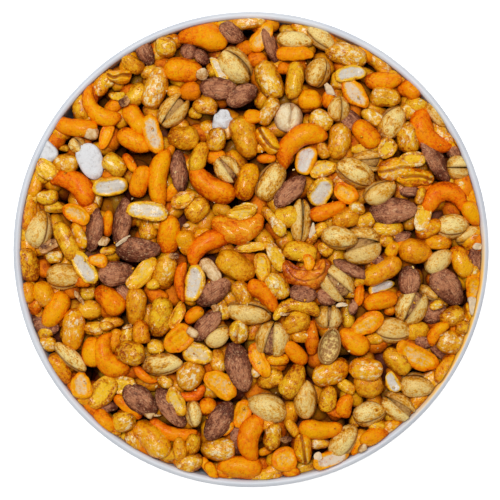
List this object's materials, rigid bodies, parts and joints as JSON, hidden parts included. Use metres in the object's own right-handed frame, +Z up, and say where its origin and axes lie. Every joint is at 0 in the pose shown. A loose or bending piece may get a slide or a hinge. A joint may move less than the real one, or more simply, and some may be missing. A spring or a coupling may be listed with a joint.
{
  "type": "bowl of smoked nuts",
  "caption": "Round steep-sided glazed bowl on a foot ring, filled to the brim with a loose crowned heap of smoked mixed nuts.",
  "frame": {"origin": "centre of the foot ring, on the surface that the bowl stands on", "axes": "+Z up along the bowl's axis; +X to the right and +Y to the top of the picture taken from above"},
  "size_m": [0.22, 0.22, 0.0773],
  "materials": {
    "bowl_glaze": "smooth white glaze, soft gloss",
    "mixed_nuts": "loose roasted nuts with smoky orange and yellow seasoning"
  },
  "bodies": {
    "root": {"bowl": "bowl_glaze", "nut_heap": "mixed_nuts"}
  },
  "joints": []
}
